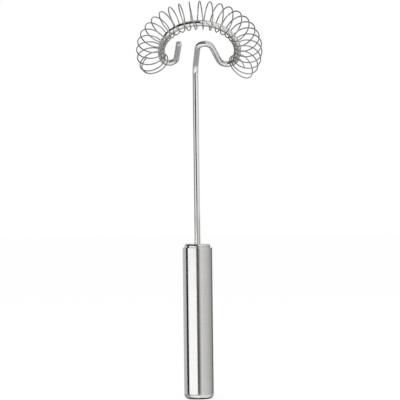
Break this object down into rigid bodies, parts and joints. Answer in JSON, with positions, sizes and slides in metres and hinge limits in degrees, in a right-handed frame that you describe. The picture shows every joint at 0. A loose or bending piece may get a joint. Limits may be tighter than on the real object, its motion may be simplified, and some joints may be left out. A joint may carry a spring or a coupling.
{
  "type": "spiral whisk",
  "caption": "Hand whisk with a round metal handle, a long wire stem and a forward-leaning wire bow that carries a loose coil spring between two end bends.",
  "frame": {"origin": "centre of the flat end of the handle's butt cap", "axes": "+Z along the handle and the stem towards the wire head, +X to the right of someone who looks at the hook on the left, and the head leans towards -Y"},
  "size_m": [0.0841, 0.0558, 0.2627],
  "materials": {
    "polished_steel": "bright polished stainless wire with fine drawing marks along it",
    "spring_steel": "bright hard-drawn spring wire",
    "satin_steel": "satin tube, finely brushed, with soft streaks of reflection along its length",
    "black_plastic": "plain moulded nylon"
  },
  "bodies": {
    "handle": {"stem_rod": "polished_steel", "handle_tube": "satin_steel", "front_plug": "polished_steel", "tang_bush": "black_plastic", "butt_cap": "satin_steel"},
    "spring": {"whisk_spring": "spring_steel"}
  },
  "joints": [
    {"name": "spring_slide", "type": "hinge", "parent": "handle", "child": "spring", "pos_m": [0.00283, -0.01176, 0.23152], "axis": [0, -0.6521, -0.7581], "range_deg": [-1, 3]}
  ]
}
